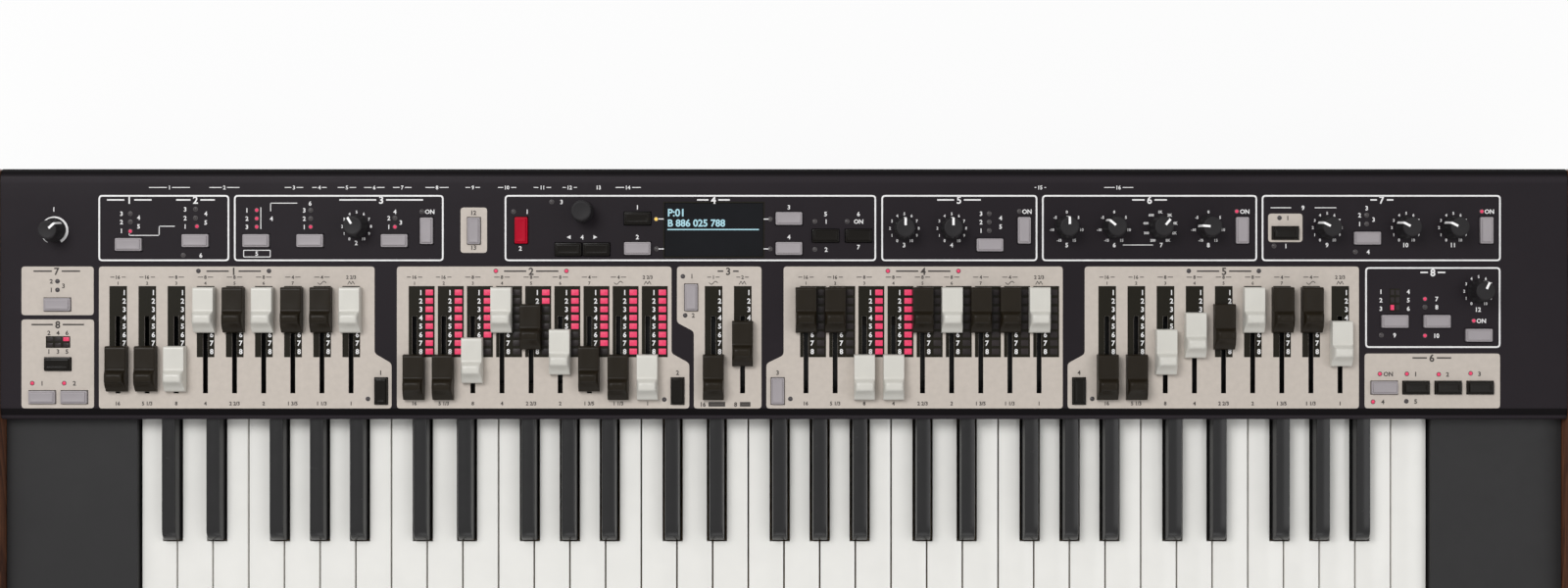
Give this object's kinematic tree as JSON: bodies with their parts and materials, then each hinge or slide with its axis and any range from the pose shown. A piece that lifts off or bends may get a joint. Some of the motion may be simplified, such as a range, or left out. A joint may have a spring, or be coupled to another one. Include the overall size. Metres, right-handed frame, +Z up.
{
  "type": "combo organ",
  "caption": "Two-manual combo organ with drawbar sets, knobs, buttons and a display on one panel, sprung keys and wooden end cheeks.",
  "frame": {"origin": "centre of the organ's footprint, on the surface that its feet stand on", "axes": "+X to the player's right, +Y away from the player, +Z up"},
  "size_m": [1.057, 0.399, 0.174],
  "materials": {
    "panel_enamel": "satin",
    "case_steel": "satin",
    "cheek_wood": "satin",
    "black_plastic": "satin",
    "keybed_board": "matte",
    "circuit_board": "satin",
    "display_glass": "gloss",
    "zinc_case": "satin",
    "foot_rubber": "matte",
    "drawbar_plastic": "satin",
    "knob_plastic": "satin",
    "button_plastic": "satin",
    "ivory_keys": "gloss",
    "black_keys": "gloss"
  },
  "bodies": {
    "housing": {"control_panel": "panel_enamel", "base_tray": "case_steel", "left_cheek": "cheek_wood", "right_cheek": "cheek_wood", "lower_surround": "black_plastic", "upper_surround": "black_plastic", "lower_keybed": "keybed_board", "upper_keybed": "keybed_board", "main_board": "circuit_board", "control_board": "circuit_board", "socket_board": "black_plastic", "mains_inlet": "black_plastic", "power_switch_frame": "black_plastic", "display_module": "display_glass", "power_supply": "zinc_case", "foot_front_left": "foot_rubber", "foot_front_right": "foot_rubber", "foot_rear_left": "foot_rubber", "foot_rear_right": "foot_rubber"},
    "drawbars_upper_a_low": {"drawbars_upper_a_low": "drawbar_plastic"},
    "drawbars_upper_a_high": {"drawbars_upper_a_high": "drawbar_plastic"},
    "drawbars_upper_b_outer": {"drawbars_upper_b_outer": "drawbar_plastic"},
    "drawbars_upper_b_3": {"drawbars_upper_b_3": "drawbar_plastic"},
    "drawbars_upper_b_4": {"drawbars_upper_b_4": "drawbar_plastic"},
    "drawbars_upper_b_5": {"drawbars_upper_b_5": "drawbar_plastic"},
    "drawbars_upper_b_6": {"drawbars_upper_b_6": "drawbar_plastic"},
    "drawbars_upper_b_7": {"drawbars_upper_b_7": "drawbar_plastic"},
    "drawbars_pedal_1": {"drawbars_pedal_1": "drawbar_plastic"},
    "drawbars_pedal_2": {"drawbars_pedal_2": "drawbar_plastic"},
    "drawbars_lower_a_middle": {"drawbars_lower_a_middle": "drawbar_plastic"},
    "drawbars_lower_a_outer": {"drawbars_lower_a_outer": "drawbar_plastic"},
    "drawbars_lower_b_low": {"drawbars_lower_b_low": "drawbar_plastic"},
    "drawbars_lower_b_3": {"drawbars_lower_b_3": "drawbar_plastic"},
    "drawbars_lower_b_4": {"drawbars_lower_b_4": "drawbar_plastic"},
    "drawbars_lower_b_5": {"drawbars_lower_b_5": "drawbar_plastic"},
    "drawbars_lower_b_high": {"drawbars_lower_b_high": "drawbar_plastic"},
    "drawbars_lower_b_9": {"drawbars_lower_b_9": "drawbar_plastic"},
    "knob_master_level": {"knob_master_level": "knob_plastic"},
    "knob_drive": {"knob_drive": "knob_plastic"},
    "knob_rate": {"knob_rate": "knob_plastic"},
    "knob_mod_amount": {"knob_mod_amount": "knob_plastic"},
    "knob_bass": {"knob_bass": "knob_plastic"},
    "knob_gain": {"knob_gain": "knob_plastic"},
    "knob_freq": {"knob_freq": "knob_plastic"},
    "knob_treble": {"knob_treble": "knob_plastic"},
    "knob_tempo": {"knob_tempo": "knob_plastic"},
    "knob_feedback": {"knob_feedback": "knob_plastic"},
    "knob_delay_amount": {"knob_delay_amount": "knob_plastic"},
    "knob_reverb_amount": {"knob_reverb_amount": "knob_plastic"},
    "program_dial": {"program_dial": "knob_plastic"},
    "buttons_left": {"buttons_left": "button_plastic"},
    "buttons_model": {"buttons_model": "button_plastic"},
    "buttons_program": {"buttons_program": "button_plastic"},
    "buttons_effects": {"buttons_effects": "button_plastic"},
    "buttons_select": {"buttons_select": "button_plastic"},
    "upper_naturals": {"upper_naturals": "ivory_keys"},
    "upper_sharps": {"upper_sharps": "black_keys"},
    "lower_naturals": {"lower_naturals": "ivory_keys"},
    "lower_sharps": {"lower_sharps": "black_keys"},
    "power_rocker": {"power_rocker": "black_plastic"}
  },
  "joints": [
    {"name": "upper_a_low_pull", "type": "slide", "parent": "housing", "child": "drawbars_upper_a_low", "axis": [0, -1, 0], "range_m": [-0.03822, 0.00546]},
    {"name": "upper_a_high_pull", "type": "slide", "parent": "housing", "child": "drawbars_upper_a_high", "axis": [0, -1, 0], "range_m": [0, 0.04368]},
    {"name": "upper_b_outer_pull", "type": "slide", "parent": "housing", "child": "drawbars_upper_b_outer", "axis": [0, -1, 0], "range_m": [-0.04368, 0]},
    {"name": "upper_b_3_pull", "type": "slide", "parent": "housing", "child": "drawbars_upper_b_3", "axis": [0, -1, 0], "range_m": [-0.03276, 0.01092]},
    {"name": "upper_b_4_pull", "type": "slide", "parent": "housing", "child": "drawbars_upper_b_4", "axis": [0, -1, 0], "range_m": [0, 0.04368]},
    {"name": "upper_b_5_pull", "type": "slide", "parent": "housing", "child": "drawbars_upper_b_5", "axis": [0, -1, 0], "range_m": [-0.01092, 0.03276]},
    {"name": "upper_b_6_pull", "type": "slide", "parent": "housing", "child": "drawbars_upper_b_6", "axis": [0, -1, 0], "range_m": [-0.0273, 0.01638]},
    {"name": "upper_b_7_pull", "type": "slide", "parent": "housing", "child": "drawbars_upper_b_7", "axis": [0, -1, 0], "range_m": [-0.03822, 0.00546]},
    {"name": "pedal_1_pull", "type": "slide", "parent": "housing", "child": "drawbars_pedal_1", "axis": [0, -1, 0], "range_m": [-0.04368, 0]},
    {"name": "pedal_2_pull", "type": "slide", "parent": "housing", "child": "drawbars_pedal_2", "axis": [0, -1, 0], "range_m": [-0.02184, 0.02184]},
    {"name": "lower_a_middle_pull", "type": "slide", "parent": "housing", "child": "drawbars_lower_a_middle", "axis": [0, -1, 0], "range_m": [-0.04368, 0]},
    {"name": "lower_a_outer_pull", "type": "slide", "parent": "housing", "child": "drawbars_lower_a_outer", "axis": [0, -1, 0], "range_m": [0, 0.04368]},
    {"name": "lower_b_low_pull", "type": "slide", "parent": "housing", "child": "drawbars_lower_b_low", "axis": [0, -1, 0], "range_m": [-0.04368, 0]},
    {"name": "lower_b_3_pull", "type": "slide", "parent": "housing", "child": "drawbars_lower_b_3", "axis": [0, -1, 0], "range_m": [-0.0273, 0.01638]},
    {"name": "lower_b_4_pull", "type": "slide", "parent": "housing", "child": "drawbars_lower_b_4", "axis": [0, -1, 0], "range_m": [-0.01638, 0.0273]},
    {"name": "lower_b_5_pull", "type": "slide", "parent": "housing", "child": "drawbars_lower_b_5", "axis": [0, -1, 0], "range_m": [-0.01092, 0.03276]},
    {"name": "lower_b_high_pull", "type": "slide", "parent": "housing", "child": "drawbars_lower_b_high", "axis": [0, -1, 0], "range_m": [0, 0.04368]},
    {"name": "lower_b_9_pull", "type": "slide", "parent": "housing", "child": "drawbars_lower_b_9", "axis": [0, -1, 0], "range_m": [-0.02184, 0.02184]},
    {"name": "master_level_turn", "type": "hinge", "parent": "housing", "child": "knob_master_level", "pos_m": [-0.4746, 0.1593, 0.158], "axis": [0, 0, -1], "range_deg": [-198, 102]},
    {"name": "drive_turn", "type": "hinge", "parent": "housing", "child": "knob_drive", "pos_m": [-0.278, 0.1619, 0.158], "axis": [0, 0, -1], "range_deg": [-120, 180]},
    {"name": "rate_turn", "type": "hinge", "parent": "housing", "child": "knob_rate", "pos_m": [0.0783, 0.1607, 0.158], "axis": [0, 0, -1], "range_deg": [-150, 150]},
    {"name": "mod_amount_turn", "type": "hinge", "parent": "housing", "child": "knob_mod_amount", "pos_m": [0.1091, 0.1607, 0.158], "axis": [0, 0, -1], "range_deg": [-150, 150]},
    {"name": "bass_turn", "type": "hinge", "parent": "housing", "child": "knob_bass", "pos_m": [0.184, 0.1614, 0.158], "axis": [0, 0, -1], "range_deg": [-150, 150]},
    {"name": "gain_turn", "type": "hinge", "parent": "housing", "child": "knob_gain", "pos_m": [0.2148, 0.1614, 0.158], "axis": [0, 0, -1], "range_deg": [-100, 200]},
    {"name": "freq_turn", "type": "hinge", "parent": "housing", "child": "knob_freq", "pos_m": [0.2449, 0.1614, 0.158], "axis": [0, 0, -1], "range_deg": [-190, 110]},
    {"name": "treble_turn", "type": "hinge", "parent": "housing", "child": "knob_treble", "pos_m": [0.2761, 0.1614, 0.158], "axis": [0, 0, -1], "range_deg": [-65, 235]},
    {"name": "tempo_turn", "type": "hinge", "parent": "housing", "child": "knob_tempo", "pos_m": [0.3533, 0.1611, 0.158], "axis": [0, 0, -1], "range_deg": [-86, 214]},
    {"name": "feedback_turn", "type": "hinge", "parent": "housing", "child": "knob_feedback", "pos_m": [0.4047, 0.1611, 0.158], "axis": [0, 0, -1], "range_deg": [-86, 214]},
    {"name": "delay_amount_turn", "type": "hinge", "parent": "housing", "child": "knob_delay_amount", "pos_m": [0.4354, 0.1611, 0.158], "axis": [0, 0, -1], "range_deg": [-86, 214]},
    {"name": "reverb_amount_turn", "type": "hinge", "parent": "housing", "child": "knob_reverb_amount", "pos_m": [0.4518, 0.1198, 0.158], "axis": [0, 0, -1], "range_deg": [-174, 126]},
    {"name": "program_dial_turn", "type": "hinge", "parent": "housing", "child": "program_dial", "pos_m": [-0.1307, 0.1715, 0.158], "axis": [0, 0, -1], "continuous": true},
    {"name": "buttons_left_press", "type": "slide", "parent": "housing", "child": "buttons_left", "axis": [0, 0, -1], "range_m": [0, 0.001], "stiffness_N_per_m": 800, "springref_m": -0.0025},
    {"name": "buttons_model_press", "type": "slide", "parent": "housing", "child": "buttons_model", "axis": [0, 0, -1], "range_m": [0, 0.001], "stiffness_N_per_m": 800, "springref_m": -0.0025},
    {"name": "buttons_program_press", "type": "slide", "parent": "housing", "child": "buttons_program", "axis": [0, 0, -1], "range_m": [0, 0.001], "stiffness_N_per_m": 800, "springref_m": -0.0025},
    {"name": "buttons_effects_press", "type": "slide", "parent": "housing", "child": "buttons_effects", "axis": [0, 0, -1], "range_m": [0, 0.001], "stiffness_N_per_m": 800, "springref_m": -0.0025},
    {"name": "buttons_select_press", "type": "slide", "parent": "housing", "child": "buttons_select", "axis": [0, 0, -1], "range_m": [0, 0.001], "stiffness_N_per_m": 800, "springref_m": -0.0025},
    {"name": "upper_naturals_press", "type": "hinge", "parent": "housing", "child": "upper_naturals", "pos_m": [0, 0.0923, 0.134], "axis": [1, 0, 0], "range_deg": [0, 3.1], "stiffness_Nm_per_rad": 10, "springref_deg": -17.19},
    {"name": "upper_sharps_press", "type": "hinge", "parent": "housing", "child": "upper_sharps", "pos_m": [0, 0.0783, 0.134], "axis": [1, 0, 0], "range_deg": [0, 3.5], "stiffness_Nm_per_rad": 4, "springref_deg": -17.19},
    {"name": "lower_naturals_press", "type": "hinge", "parent": "housing", "child": "lower_naturals", "pos_m": [0, -0.004, 0.076], "axis": [1, 0, 0], "range_deg": [0, 3.1], "stiffness_Nm_per_rad": 10, "springref_deg": -17.19},
    {"name": "lower_sharps_press", "type": "hinge", "parent": "housing", "child": "lower_sharps", "pos_m": [0, -0.018, 0.076], "axis": [1, 0, 0], "range_deg": [0, 3.5], "stiffness_Nm_per_rad": 4, "springref_deg": -17.19},
    {"name": "power_rocker_tip", "type": "hinge", "parent": "housing", "child": "power_rocker", "pos_m": [0.2177, 0.1934, 0.06], "axis": [1, 0, 0], "range_deg": [-16, 0]}
  ]
}
